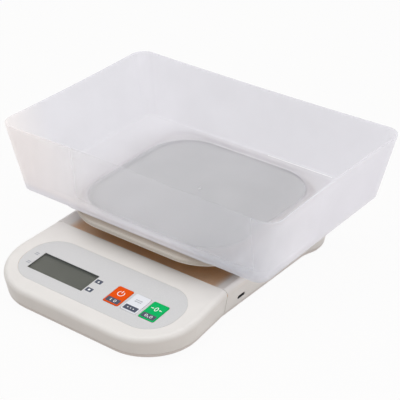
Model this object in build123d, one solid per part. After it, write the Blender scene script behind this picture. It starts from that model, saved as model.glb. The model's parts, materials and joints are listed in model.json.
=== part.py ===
"""Electronic table scale with a removable translucent tray.

Millimetres, +Z up. X runs along the control panel's reading direction and Y towards the back.
Everything is modelled about the middle of the platform. A last shift puts the origin under the
middle of the whole scale, on the surface that it stands on.
"""
from build123d import *
import os
from math import cos, radians, sin, tan

os.makedirs("parts", exist_ok=True)

# Fits and clearances
SLIDING_GAP = 0.3           # between pieces that move past each other
SEAT_GAP = 0.15             # round a piece that drops into a pocket
SCREW_CLEARANCE = 0.35      # radial, round a screw's shank
THREAD_FIT = 0.02           # radial, between a screw and its pilot hole
HEAD_SINK = 0.2             # screw heads lie this far inside their counterbores
HOUSING_SEAM = 0.2          # joint line between the two housings
CUT_OVERRUN = 1.0           # a cut runs this far past what it opens

# Base housing, in plan
BASE_FRONT = 155.4          # platform middle to the front, at the bottom edge
BASE_REAR = 74.0            # platform middle to the back, at the bottom edge
POD_HALF_WIDTH = 84.8       # at the bottom edge
POD_CORNER = 41.0
POD_STRAIGHT = 3.0          # straight side behind the front corner
POD_REAR_Y = -73.4          # rear wall of the raised control pod
POD_SIDE_BLEND = 50.0       # where the pod's sides begin to draw in
NECK_LEAD = 3.0             # the sides stop drawing in this far before the rear wall
NECK_BLEND = 30.0
WAIST_HALF_WIDTH = 81.3
REAR_HALF_WIDTH = 83.2
LOBE_HALF_WIDTH = 87.0
LOBE_Y = 43.0               # where the rear lobes reach their full width
LOBE_FLARE = 12.0
LOBE_FLARE_ROUND = 26.0
LOBE_SHOULDER_ROUND = 16.0
LOBE_CORNER = 27.0

# Base housing, in section
WALL_DRAFT = 10.0           # degrees, walls lean outwards going up
HOUSING_WALL = 2.5
FLOOR_THICK = 2.5
DECK_HEIGHT = 20.0          # bottom edge to the deck under the platform
POD_RISE = 4.6              # pod's rear edge and the deck's rim above the deck
POD_TILT = 4.3              # degrees, panel falls towards the front
POD_ROUND = 4.0             # upper edge of the pod and of the deck's rim
STEP_ROUND = 0.8            # rear edge of the pod
DISH_HALF_WIDTH = 66.0      # level part of the deck
DISH_REAR_Y = 57.0
DISH_SIDE = 15.0            # width of the slope from the level part up to the rim
DISH_CORNER = 24.0
DISH_ROUND = 20.0           # where the slope meets the level part
LOWER_EDGE = 4.0            # height of the lower housing's visible edge
LOWER_ROUND = 3.5
LIP_HEIGHT = 2.0            # lip above the lower edge, inside the upper housing
LIP_THICK = 1.5
COLLAR_GAP = 3.2            # deck opening round the platform's support
COLLAR_WALL = 2.0
COLLAR_HEIGHT = 1.8

# Feet
FOOT_HEIGHT = 3.0           # surface to the bottom of the housing
FOOT_RADIUS = 7.0
FOOT_SEAT = 0.8
FOOT_ROUND = 0.8
FOOT_X = 58.0
FOOT_FRONT_Y = -131.0
FOOT_REAR_Y = 56.0

# Housing screws
HOUSING_SCREW_RADIUS = 1.5
HOUSING_SCREW_GRIP = 8.0
HOUSING_HEAD_RADIUS = 2.8
HOUSING_HEAD_HEIGHT = 1.6
HOUSING_BOSS_RADIUS = 3.6
HOUSING_SCREW_FRONT = (74.0, -118.0)
HOUSING_SCREW_MIDDLE = (71.0, -83.0)
HOUSING_SCREW_REAR = (71.0, 44.0)
CROSS_WIDTH = 0.28          # share of a screw head's radius
CROSS_DEPTH = 0.5           # share of a screw head's height

# Weighing tray
TRAY_RIM_WIDTH = 263.6
TRAY_RIM_DEPTH = 177.6
TRAY_FLOOR_WIDTH = 235.6
TRAY_FLOOR_DEPTH = 162.9
TRAY_HEIGHT = 57.5
TRAY_STAND = 0.4            # the tray's floor lies this far above the platform
TRAY_RING_WALL = 1.2        # low ring that the tray stands on
TRAY_RING_INSET = 2.4       # platform's bevel to the ring
TRAY_WALL = 1.8
TRAY_FLOOR_THICK = 2.0
TRAY_RIM_CORNER = 13.2
TRAY_FLOOR_CORNER = 9.5
TRAY_EDGE_ROUND = 2.2
TRAY_RIM_ROUND = 0.6
TRAY_RIM_BOW = 2.3          # long sides of the rim bow inwards by this much
TRAY_RIM_SIDE_BOW = 1.8     # short sides of the rim
TRAY_FLOOR_BOW = 0.2
TRAY_SHIFT_X = 1.9          # the tray stands this far right of the platform's middle
TRAY_SHIFT_Y = 1.2          # and this far behind it
TRAY_FOOT_INSET = 1.0       # platform's outside to the foot's outside
TRAY_FOOT_WALL = 1.6
TRAY_FOOT_CORNER = 17.0
GATE_RADIUS = 1.3           # moulding gate mark in the middle of the floor
GATE_HEIGHT = 0.3

# Platform
PLATFORM_WIDTH = 166.0
PLATFORM_DEPTH = 158.6
PLATFORM_CORNER = 45.0
PLATFORM_ABOVE_DECK = 26.0  # deck to the top of the pad
PLATFORM_HEIGHT = 9.5       # lower edge of the skirt to the top of the pad
PLATFORM_PLATE = 2.5
SKIRT_WALL = 2.0
SKIRT_ROUND = 0.7
BEVEL_WIDTH = 7.6
BEVEL_DROP = 5.6
BEVEL_ROUND = 2.5
PAD_MARGIN = 8.3            # platform's outside to the pad's edge
PAD_THICK = 0.9
PLATFORM_TRAVEL = 0.5       # bending of the load cell at full load
TRAVEL_MARGIN = 0.3         # left below moving pieces at full travel

# Platform support
FLANGE_WIDTH = 118.0
FLANGE_DEPTH = 106.0
FLANGE_CORNER = 30.0
FLANGE_THICK = 2.4
HUB_BOTTOM_RADIUS = 21.0
HUB_TOP_RADIUS = 27.0
HUB_WALL = 2.4
HUB_BASE = 4.0
HUB_BOSS_RADIUS = 4.2
HUB_BOSS_CAP = 1.0          # above the screws' tips
HUB_RIB = 2.2
HUB_RIB_REACH = 20.0
HUB_RIB_DROP = 9.0
PLATE_BOSS_HEIGHT = 2.0
PLATE_BOSS_RADIUS = 4.5
PLATFORM_SCREW_MARGIN = 12.0  # flange's edges to the screws
PLATFORM_SCREW_RADIUS = 1.5
PLATFORM_SCREW_GRIP = 2.8
PLATFORM_HEAD_RADIUS = 2.8
PLATFORM_HEAD_HEIGHT = 1.6

# Load cell
CELL_LENGTH = 70.0
CELL_WIDTH = 12.7
CELL_HEIGHT = 10.0
CELL_HOLE_PITCH = 15.0      # the free end's pair is centred under the platform
CELL_HOLE_MARGIN = 5.0
CELL_LIFT = 3.2             # floor to the underside of the cell
CELL_SCREW_RADIUS = 2.0
CELL_HEAD_RADIUS = 3.6
CELL_HEAD_HEIGHT = 2.0
CELL_SCREW_GRIP = 6.0
SPACER_THICK = 1.7
GAUGE_HOLE_RADIUS = 3.6
GAUGE_HOLE_PITCH = 11.0
GAUGE_SLOT = 2.4
SEALANT_THICK = 1.2
SEALANT_LENGTH = 17.0

# Overload stops
STOP_SPREAD = 14.0          # each side of the load cell's middle line
STOP_POST_RADIUS = 4.0
STOP_SCREW_RADIUS = 2.0
STOP_SCREW_PROUD = 3.0
STOP_GRIP = 7.0
STOP_SOCKET_RADIUS = 1.2
STOP_SOCKET_DEPTH = 1.5

# Control panel, measured along its slope
PANEL_MIDDLE_Y = -117.8
OVERLAY_WIDTH = 148.4
OVERLAY_DEPTH = 52.6
OVERLAY_CORNER_SHARE = 0.456  # corner radius as a share of the film's depth
OVERLAY_THICK = 0.5
KEY_ROW_OFFSET = -4.7       # panel middle to the row of keys and display
DISPLAY_X = -33.8
DISPLAY_WIDTH = 55.3
DISPLAY_DEPTH = 21.3
WINDOW_BORDER = 2.0
WINDOW_THICK = 0.8
KEY_MIDDLE_X = 38.1
KEY_PITCH = 16.8
KEY_WIDTH = 14.2
KEY_LENGTH = 20.0
KEY_CORNER = 1.4
KEY_PROUD = 0.3
KEY_PAD = 1.1
KEY_EDGE_ROUND = 0.25
KEY_TRAVEL = 0.3
PLUNGER_RADIUS = 3.0

# Display stack
GLASS_GAP = 0.1
GLASS_PLATE = 1.1
GLASS_LEDGE = 2.0           # the lower glass plate is set in by this at front and back
GLASS_INSET = 0.4           # the glass is this much smaller than the window, each side
FRAME_WALL = 2.4
FRAME_FLOOR = 1.5
ZEBRA_FIT = 0.1
ZEBRA_INSET = 1.2           # strips end this far inside the glass
BACKLIGHT_THICK = 2.2

# Main board, hung under the panel
BOARD_WIDTH = 136.0
BOARD_DEPTH = 50.0
BOARD_CORNER = 13.0
BOARD_THICK = 1.6
BOARD_DROP = 8.0            # panel surface to the board's upper face
BOARD_BOSS_RADIUS = 3.0
BOARD_BOSS_REAR_END = 8.0   # rear boss middle to the board's end
BOARD_BOSS_FRONT_END = 18.0
BOARD_BOSS_EDGE = 3.8       # boss middle to the board's front or rear edge
BOARD_SCREW_RADIUS = 1.1
BOARD_SCREW_GRIP = 3.6
BOARD_HEAD_RADIUS = 2.3
BOARD_HEAD_HEIGHT = 1.5
SWITCH_SIZE = 6.0
SWITCH_HEIGHT = 3.4
STEM_RADIUS = 1.75
STEM_FIT = 0.08
STEM_PROUD = 0.7
STEM_LENGTH = 1.8
CHIP_SIZE = 10.0
CHIP_THICK = 1.4
CHIP_OFFSET = -6.0
CAN_RADIUS = 2.2
CAN_HEIGHT = 4.2
CAN_PITCH = 8.0
CONNECTOR_WIDTH = 8.0
CONNECTOR_DEPTH = 5.0
CONNECTOR_HEIGHT = 4.0
CONNECTOR_OFFSET = 17.0     # board middle to the connector row
CELL_CONNECTOR_X = -14.0
POWER_CONNECTOR_X = 30.0

# Charging socket and its board
SOCKET_Y = -54.3
SOCKET_LIFT = 9.8           # housing's bottom edge to the socket's middle
SOCKET_WIDTH = 8.9
SOCKET_HEIGHT = 3.2
SOCKET_LENGTH = 7.4
SOCKET_SHELL = 0.3
SOCKET_CORNER = 1.4
SOCKET_SETBACK = 0.4        # mouth behind the outside of the wall
TONGUE_WIDTH = 6.7
TONGUE_THICK = 0.7
TONGUE_LENGTH = 4.4
CHARGE_WIDTH = 21.0
CHARGE_DEPTH = 22.0
CHARGE_OVERHANG = 3.6
CHARGE_THICK = 1.6
CHARGE_BOSS_RADIUS = 2.6
CHARGE_BOSS_SPREAD = 7.5
CHARGE_BOSS_EDGE = 4.5
CHARGE_SCREW_RADIUS = 1.1
CHARGE_SCREW_GRIP = 3.0
CHARGE_HEAD_RADIUS = 2.0
CHARGE_HEAD_HEIGHT = 1.3
CHARGE_CHIP = 4.0
CHARGE_CHIP_THICK = 1.2

# Battery
BATTERY_X = 46.0
BATTERY_Y = 2.0
BATTERY_WIDTH = 34.0
BATTERY_LENGTH = 50.0
BATTERY_THICK = 6.0
BATTERY_ROUND = 1.8
BATTERY_PAD_THICK = 0.6
BATTERY_RIB_THICK = 1.6
BATTERY_RIB_HEIGHT = 4.0
BATTERY_RIB_SHARE = 0.4     # rib length as a share of the battery's side

# Internal leads
CABLE_RADIUS = 1.4
WIRE_RADIUS = 0.8
LEAD_BEND = 5.0
LEAD_RUN = 9.0              # straight run out of a connector
LEAD_LIFT = 2.6             # leads lie this far above the floor
BATTERY_LEAD_PITCH = 8.0
BATTERY_LEAD_SHARE = 0.75   # leads leave at this share of the battery's thickness

# Heights worked out from the sizes above
housing_bottom = FOOT_HEIGHT
floor_top = housing_bottom + FLOOR_THICK
seam_z = housing_bottom + LOWER_EDGE
deck_top = housing_bottom + DECK_HEIGHT
pod_top = deck_top + POD_RISE
platform_top = deck_top + PLATFORM_ABOVE_DECK
tray_bottom = platform_top + TRAY_STAND
tray_floor = tray_bottom + TRAY_FLOOR_THICK
skirt_bottom = platform_top - PLATFORM_HEIGHT
plate_under = platform_top - PLATFORM_PLATE
cell_bottom = floor_top + CELL_LIFT
cell_top = cell_bottom + CELL_HEIGHT
hub_bottom = cell_top + PLATFORM_TRAVEL + TRAVEL_MARGIN
flange_top = plate_under - PLATE_BOSS_HEIGHT
flange_under = flange_top - FLANGE_THICK
stop_top = hub_bottom - PLATFORM_TRAVEL - TRAVEL_MARGIN
socket_z = housing_bottom + SOCKET_LIFT
draft = tan(radians(WALL_DRAFT))
slope = tan(radians(POD_TILT))

# Places worked out from the sizes above
platform_screw_x = FLANGE_WIDTH / 2 - PLATFORM_SCREW_MARGIN
platform_screw_y = FLANGE_DEPTH / 2 - PLATFORM_SCREW_MARGIN
neck_y = POD_REAR_Y - NECK_LEAD
flare_y = LOBE_Y - LOBE_FLARE
cell_free_x = CELL_HOLE_PITCH / 2 + CELL_HOLE_MARGIN
cell_fixed_x = cell_free_x - CELL_LENGTH
cell_middle_x = cell_free_x - CELL_LENGTH / 2
spacer_length = CELL_HOLE_PITCH + 2 * CELL_HOLE_MARGIN
spacer_x = cell_fixed_x + spacer_length / 2
free_holes = (-CELL_HOLE_PITCH / 2, CELL_HOLE_PITCH / 2)
fixed_holes = (spacer_x - CELL_HOLE_PITCH / 2, spacer_x + CELL_HOLE_PITCH / 2)
key_xs = (KEY_MIDDLE_X - KEY_PITCH, KEY_MIDDLE_X, KEY_MIDDLE_X + KEY_PITCH)
waist_lean = (REAR_HALF_WIDTH - WAIST_HALF_WIDTH) / (flare_y - neck_y)
socket_wall_x = (WAIST_HALF_WIDTH + waist_lean * (SOCKET_Y - neck_y)
                 + draft * (socket_z - housing_bottom))
socket_mouth_x = socket_wall_x - SOCKET_SETBACK
charge_top = socket_z - SOCKET_HEIGHT / 2
charge_under = charge_top - CHARGE_THICK
charge_right = socket_mouth_x - CHARGE_OVERHANG
charge_x = charge_right - CHARGE_WIDTH / 2
charge_left = charge_right - CHARGE_WIDTH
charge_boss_x = charge_left + CHARGE_BOSS_EDGE
battery_bottom = floor_top + BATTERY_PAD_THICK
battery_lead_z = battery_bottom + BATTERY_THICK * BATTERY_LEAD_SHARE

# The panel's own frame: x along the panel, y up its slope, z out of its surface
panel = Plane(
    origin=(0, PANEL_MIDDLE_Y, pod_top - slope * (POD_REAR_Y - PANEL_MIDDLE_Y)),
    x_dir=(1, 0, 0),
    z_dir=(0, -sin(radians(POD_TILT)), cos(radians(POD_TILT))),
)
board_under = -BOARD_DROP - BOARD_THICK
switch_top = -BOARD_DROP + SWITCH_HEIGHT
stem_top = switch_top + STEM_PROUD
overlay_corner = OVERLAY_DEPTH * OVERLAY_CORNER_SHARE
window_top = -OVERLAY_THICK
window_under = window_top - WINDOW_THICK
glass_top = window_under - GLASS_GAP
glass_middle = glass_top - GLASS_PLATE
glass_under = glass_middle - GLASS_PLATE
window_width = DISPLAY_WIDTH + 2 * WINDOW_BORDER
window_depth = DISPLAY_DEPTH + 2 * WINDOW_BORDER
glass_width = window_width - 2 * GLASS_INSET
glass_depth = window_depth - 2 * GLASS_INSET
lower_glass_depth = glass_depth - 2 * GLASS_LEDGE
zebra_thick = GLASS_LEDGE - 2 * ZEBRA_FIT
zebra_y = (glass_depth - GLASS_LEDGE) / 2
frame_top = -HOUSING_WALL - SEAT_GAP
frame_pocket = -BOARD_DROP + FRAME_FLOOR
board_bosses = [
    (side * (BOARD_WIDTH / 2 - end), KEY_ROW_OFFSET + back * (BOARD_DEPTH / 2 - BOARD_BOSS_EDGE))
    for end, back in ((BOARD_BOSS_REAR_END, 1), (BOARD_BOSS_FRONT_END, -1))
    for side in (1, -1)
]


# Building helpers

def post(radius, low, high, x=0.0, y=0.0):
    """Upright cylinder between two heights."""
    return Pos(x, y, (low + high) / 2) * Cylinder(radius, high - low)


def block(width, depth, low, high, x=0.0, y=0.0):
    """Upright box between two heights."""
    return Pos(x, y, (low + high) / 2) * Box(width, depth, high - low)


def slab(width, depth, corner, low, high, x=0.0, y=0.0):
    """Upright plate with rounded plan corners, between two heights."""
    outline = Pos(x, y, low) * RectangleRounded(width, depth, corner)
    return extrude(outline, amount=high - low)


def rounded_face(width, depth, corner, z):
    """Flat outline with rounded corners at a height."""
    return Pos(0, 0, z) * RectangleRounded(width, depth, corner)


def edges_at(shape, z):
    """Edges that lie flat at one height."""
    return [edge for edge in shape.edges()
            if abs(edge.bounding_box().min.Z - z) < 1e-3
            and abs(edge.bounding_box().max.Z - z) < 1e-3]


def mirrored(spots):
    """Each spot and its mirror image in X."""
    return [(side * x, y) for x, y in spots for side in (1, -1)]


def on_panel(shape):
    """Move a shape from the panel's own frame to its place on the scale."""
    return panel.location * shape


def screw(head_radius, head_height, radius, seat, tip, x, y):
    """Cross-head screw that points up, with its head below its seat."""
    head = post(head_radius, seat - head_height, seat, x, y)
    shank = post(radius, seat, tip, x, y)
    slot = head_radius * CROSS_WIDTH * 2
    low = seat - head_height
    high = low + head_height * CROSS_DEPTH
    body = head + shank
    for width, depth in ((head_radius * 1.2, slot), (slot, head_radius * 1.2)):
        body -= block(width, depth, low, high, x, y)
    return body


def lead(points, radius):
    """Lead along straight runs joined by arcs."""
    path = FilletPolyline(*points, radius=LEAD_BEND)
    start = Plane(origin=path @ 0, z_dir=path % 0)
    return sweep(start * Circle(radius), path=path)


def group(shapes):
    """Separate solids that share one node."""
    return Compound([solid for shape in shapes for solid in shape.solids()])


# Form of the base, shared by both housings

def base_outline(grow, z):
    """Plan outline of the base at a height, moved outwards by grow."""
    out = grow + (z - housing_bottom) * draft
    corners = [
        (POD_HALF_WIDTH, -BASE_FRONT - out, POD_CORNER + out),
        (POD_HALF_WIDTH, -BASE_FRONT + POD_CORNER + POD_STRAIGHT, POD_SIDE_BLEND),
        (WAIST_HALF_WIDTH, neck_y, NECK_BLEND),
        (REAR_HALF_WIDTH, flare_y, LOBE_FLARE_ROUND - out),
        (LOBE_HALF_WIDTH, LOBE_Y, LOBE_SHOULDER_ROUND + out),
        (LOBE_HALF_WIDTH, BASE_REAR + out, LOBE_CORNER + out),
    ]
    right = [(x + out, y) for x, y, radius in corners]
    left = [(-x, y) for x, y in reversed(right)]
    radii = [radius for x, y, radius in corners]
    wire = FilletPolyline(*right, *left, radius=radii + radii[::-1], close=True)
    return Pos(0, 0, z) * make_face(wire)


def base_walls(inset, low, high):
    """Everything inside the leaning walls, between two heights."""
    return loft([base_outline(-inset, low), base_outline(-inset, high)], ruled=True)


def side_profile(corners):
    """Slab across the whole width with the given outline in Y and Z."""
    face = make_face(Polyline(*[(0, y, z) for y, z in corners], close=True))
    return extrude(face, amount=TRAY_RIM_WIDTH / 2, dir=(1, 0, 0), both=True)


def base_form(inset, low):
    """Outer form of the base above a height, or its hollow when inset by the wall."""
    body = base_walls(inset, low, pod_top + POD_RISE)
    rear_y = POD_REAR_Y - inset
    front_y = -BASE_FRONT - POD_CORNER
    back_y = BASE_REAR + LOBE_CORNER
    pod = body & side_profile([
        (front_y, low), (rear_y, low),
        (rear_y, pod_top - inset - slope * inset),
        (front_y, pod_top - inset - slope * (POD_REAR_Y - front_y)),
    ])
    deck = body & side_profile([
        (rear_y, low), (back_y, low), (back_y, pod_top - inset), (rear_y, pod_top - inset),
    ])
    pod_face = pod.faces().sort_by(Axis.Z)[-1]
    pod_rim = pod_face.edges().sort_by(Axis.Y)
    pod = fillet(pod_rim[:-1], POD_ROUND - inset)
    if inset == 0:
        pod_back = pod.edges().filter_by(Axis.X).sort_by(Axis.Z)[-1]
        pod = fillet(pod_back, STEP_ROUND)
    deck_rim = ShapeList(edges_at(deck, pod_top - inset)).sort_by(Axis.Y)
    deck = fillet(deck_rim[1:], POD_ROUND - inset)
    return pod + (deck - deck_dish(inset))


def deck_dish(drop):
    """Room above the deck: a shallow dish with sloping sides, lowered by drop."""
    reach = DISH_SIDE * (1 + CUT_OVERRUN / POD_RISE)
    front_y = POD_REAR_Y - HOUSING_WALL - DISH_CORNER - reach
    faces = []
    for out, z in ((0, deck_top), (reach, pod_top + CUT_OVERRUN)):
        length = DISH_REAR_Y - front_y + 2 * out
        face = rounded_face(2 * (DISH_HALF_WIDTH + out), length, DISH_CORNER + out, z - drop)
        faces.append(Pos(0, (DISH_REAR_Y + front_y) / 2, 0) * face)
    dish = loft(faces, ruled=True)
    return fillet(edges_at(dish, deck_top - drop), DISH_ROUND)


def roof(x, y):
    """Height of the pod's or the deck's upper surface at a place."""
    if y < POD_REAR_Y:
        return pod_top - slope * (POD_REAR_Y - y)
    return deck_top + max(abs(x) - DISH_HALF_WIDTH, 0) * POD_RISE / DISH_SIDE


housing_screws_at = mirrored([HOUSING_SCREW_FRONT, HOUSING_SCREW_MIDDLE, HOUSING_SCREW_REAR])
platform_screws_at = mirrored([(platform_screw_x, platform_screw_y),
                               (platform_screw_x, -platform_screw_y)])


# Base pieces

def make_upper_housing():
    """Shell with the control pod, the deck, the leaning walls and its bosses."""
    shell = base_form(0, seam_z + HOUSING_SEAM) - base_form(HOUSING_WALL, seam_z)
    hub_radius = (HUB_BOTTOM_RADIUS + (HUB_TOP_RADIUS - HUB_BOTTOM_RADIUS)
                  * (deck_top - hub_bottom) / (flange_under - hub_bottom))
    opening = hub_radius + COLLAR_GAP
    shell += post(opening + COLLAR_WALL, deck_top - HOUSING_WALL, deck_top + COLLAR_HEIGHT)
    shell -= post(opening, deck_top - HOUSING_WALL, deck_top + COLLAR_HEIGHT)
    for x, y in housing_screws_at:
        shell += post(HOUSING_BOSS_RADIUS, floor_top, roof(x, y) - HOUSING_WALL / 2, x, y)
        shell -= post(HOUSING_SCREW_RADIUS + THREAD_FIT, floor_top,
                      floor_top + HOUSING_SCREW_GRIP + CUT_OVERRUN, x, y)
    for x, y in board_bosses:
        shell += on_panel(post(BOARD_BOSS_RADIUS, -BOARD_DROP, -HOUSING_WALL / 2, x, y))
        shell -= on_panel(post(BOARD_SCREW_RADIUS + THREAD_FIT, -BOARD_DROP,
                               -BOARD_DROP + BOARD_SCREW_GRIP + CUT_OVERRUN, x, y))
    shell -= on_panel(make_panel_cuts())
    shell -= socket_bar(SEAT_GAP, charge_left, socket_wall_x + HOUSING_WALL)
    return shell


def make_panel_cuts():
    """What is cut out of the pod's top: film recess, display opening, key pockets and holes."""
    above = POD_ROUND
    cuts = slab(OVERLAY_WIDTH + 2 * SEAT_GAP, OVERLAY_DEPTH + 2 * SEAT_GAP,
                overlay_corner + SEAT_GAP, -OVERLAY_THICK, above)
    cuts += block(window_width + 2 * SEAT_GAP, window_depth + 2 * SEAT_GAP,
                  -HOUSING_WALL * 2, above, DISPLAY_X, KEY_ROW_OFFSET)
    pocket = KEY_PROUD - KEY_PAD - KEY_TRAVEL - TRAVEL_MARGIN
    for x in key_xs:
        cuts += slab(KEY_WIDTH + 2 * SLIDING_GAP, KEY_LENGTH + 2 * SLIDING_GAP,
                     KEY_CORNER + SLIDING_GAP, pocket, above, x, KEY_ROW_OFFSET)
        cuts += post(PLUNGER_RADIUS + SLIDING_GAP, -HOUSING_WALL * 2, above, x, KEY_ROW_OFFSET)
    return cuts


def make_lower_housing():
    """Base tray with its edge, lip, screw holes, foot seats, posts and ribs."""
    edge = base_walls(0, housing_bottom, seam_z)
    edge = fillet(edges_at(edge, housing_bottom), LOWER_ROUND)
    inside = HOUSING_WALL + SEAT_GAP
    lip_top = seam_z + LIP_HEIGHT
    body = edge + base_walls(inside, floor_top, lip_top)
    body -= base_walls(inside + LIP_THICK, floor_top, lip_top + CUT_OVERRUN)
    body += block(spacer_length, CELL_WIDTH * 2, floor_top, cell_bottom - SPACER_THICK, spacer_x)
    for side in (1, -1):
        body += post(STOP_POST_RADIUS, floor_top, stop_top - STOP_SCREW_PROUD,
                     0, side * STOP_SPREAD)
        body -= post(STOP_SCREW_RADIUS + THREAD_FIT, stop_top - STOP_SCREW_PROUD - STOP_GRIP,
                     stop_top, 0, side * STOP_SPREAD)
        body += post(CHARGE_BOSS_RADIUS, floor_top, charge_under,
                     charge_boss_x, SOCKET_Y + side * CHARGE_BOSS_SPREAD)
        body -= post(CHARGE_SCREW_RADIUS + THREAD_FIT, charge_under - CHARGE_SCREW_GRIP,
                     charge_under, charge_boss_x, SOCKET_Y + side * CHARGE_BOSS_SPREAD)
    body += make_battery_ribs()
    for x, y in housing_screws_at:
        body -= screw_hole(HOUSING_SCREW_RADIUS, HOUSING_HEAD_RADIUS, HOUSING_HEAD_HEIGHT, x, y)
    for x in fixed_holes:
        body -= screw_hole(CELL_SCREW_RADIUS, CELL_HEAD_RADIUS, CELL_HEAD_HEIGHT, x, 0)
    for x in (FOOT_X, -FOOT_X):
        for y in (FOOT_FRONT_Y, FOOT_REAR_Y):
            body -= post(FOOT_RADIUS, housing_bottom, housing_bottom + FOOT_SEAT, x, y)
    return body


def screw_hole(radius, head_radius, head_height, x, y):
    """Counterbore and clearance hole for a screw that comes from below."""
    seat = housing_bottom + head_height + HEAD_SINK
    hole = post(radius + SCREW_CLEARANCE, housing_bottom, cell_bottom, x, y)
    return hole + post(head_radius + SCREW_CLEARANCE, housing_bottom, seat, x, y)


def make_battery_ribs():
    """Low ribs on the floor that hold the battery sideways."""
    reach = SLIDING_GAP + BATTERY_RIB_THICK / 2
    top = floor_top + BATTERY_RIB_HEIGHT
    ribs = Part()
    for side in (1, -1):
        ribs += block(BATTERY_RIB_THICK, BATTERY_LENGTH * BATTERY_RIB_SHARE, floor_top, top,
                      BATTERY_X + side * (BATTERY_WIDTH / 2 + reach), BATTERY_Y)
        ribs += block(BATTERY_WIDTH * BATTERY_RIB_SHARE, BATTERY_RIB_THICK, floor_top, top,
                      BATTERY_X, BATTERY_Y + side * (BATTERY_LENGTH / 2 + reach))
    return ribs


def make_foot(x, y):
    """Rubber foot seated in the housing's underside."""
    foot = post(FOOT_RADIUS, 0, housing_bottom + FOOT_SEAT, x, y)
    return fillet(edges_at(foot, 0), FOOT_ROUND)


def make_housing_screws():
    """Screws that close the two housings."""
    seat = housing_bottom + HEAD_SINK + HOUSING_HEAD_HEIGHT
    return group([
        screw(HOUSING_HEAD_RADIUS, HOUSING_HEAD_HEIGHT, HOUSING_SCREW_RADIUS, seat,
              floor_top + HOUSING_SCREW_GRIP, x, y)
        for x, y in housing_screws_at
    ])


# Weighing tray

def tray_outline(inset, share):
    """Outline of the tray at a share of its height, moved inwards by inset."""
    width = TRAY_FLOOR_WIDTH + (TRAY_RIM_WIDTH - TRAY_FLOOR_WIDTH) * share - 2 * inset
    depth = TRAY_FLOOR_DEPTH + (TRAY_RIM_DEPTH - TRAY_FLOOR_DEPTH) * share - 2 * inset
    corner = TRAY_FLOOR_CORNER + (TRAY_RIM_CORNER - TRAY_FLOOR_CORNER) * share - inset
    bow = TRAY_FLOOR_BOW + (TRAY_RIM_BOW - TRAY_FLOOR_BOW) * share
    side_bow = TRAY_FLOOR_BOW + (TRAY_RIM_SIDE_BOW - TRAY_FLOOR_BOW) * share
    x = width / 2
    y = depth / 2
    front = ThreePointArc((-x, -y), (0, -y + bow), (x, -y))
    right = ThreePointArc((x, -y), (x - side_bow, 0), (x, y))
    back = ThreePointArc((x, y), (0, y - bow), (-x, y))
    left = ThreePointArc((-x, y), (-x + side_bow, 0), (-x, -y))
    face = make_face([front, right, back, left])
    face = fillet(face.vertices(), corner)
    return Pos(TRAY_SHIFT_X, TRAY_SHIFT_Y, tray_bottom + TRAY_HEIGHT * share) * face


def make_weighing_tray():
    """Thin-walled tray with a low foot that drops round the platform's bevel."""
    floor_share = TRAY_FLOOR_THICK / TRAY_HEIGHT
    outer = loft([tray_outline(0, 0), tray_outline(0, 1)], ruled=True)
    outer = fillet(edges_at(outer, tray_bottom), TRAY_EDGE_ROUND)
    hollow = loft([tray_outline(TRAY_WALL, floor_share), tray_outline(TRAY_WALL, 1)], ruled=True)
    hollow = fillet(edges_at(hollow, tray_floor), TRAY_EDGE_ROUND)
    tray = outer - hollow
    tray = fillet(edges_at(tray, tray_bottom + TRAY_HEIGHT), TRAY_RIM_ROUND)
    foot_bottom = platform_top - tray_foot_height()
    tray += tray_ring(TRAY_FOOT_INSET, TRAY_FOOT_WALL, TRAY_FOOT_CORNER, foot_bottom)
    ring_inset = BEVEL_WIDTH + TRAY_RING_INSET
    tray += tray_ring(ring_inset, TRAY_RING_WALL, PLATFORM_CORNER - ring_inset, platform_top)
    tray += post(GATE_RADIUS, tray_floor, tray_floor + GATE_HEIGHT,
                 TRAY_SHIFT_X, TRAY_SHIFT_Y)
    return tray


def tray_ring(inset, wall, corner, low):
    """Ring below the tray's floor, inset from the size of the platform."""
    width = PLATFORM_WIDTH - 2 * inset
    depth = PLATFORM_DEPTH - 2 * inset
    high = tray_bottom + TRAY_FLOOR_THICK / 2
    ring = slab(width, depth, corner, low, high, TRAY_SHIFT_X, TRAY_SHIFT_Y)
    return ring - slab(width - 2 * wall, depth - 2 * wall, corner - wall, low, high,
                       TRAY_SHIFT_X, TRAY_SHIFT_Y)


def tray_foot_height():
    """How far the tray's foot reaches below the pad, to end just above the platform's bevel."""
    shift = max(abs(TRAY_SHIFT_X), abs(TRAY_SHIFT_Y))
    covered = (TRAY_FOOT_INSET + TRAY_FOOT_WALL + shift) / BEVEL_WIDTH
    return BEVEL_DROP * (1 - covered) - SLIDING_GAP * 1.25


# Platform and its support

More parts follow.
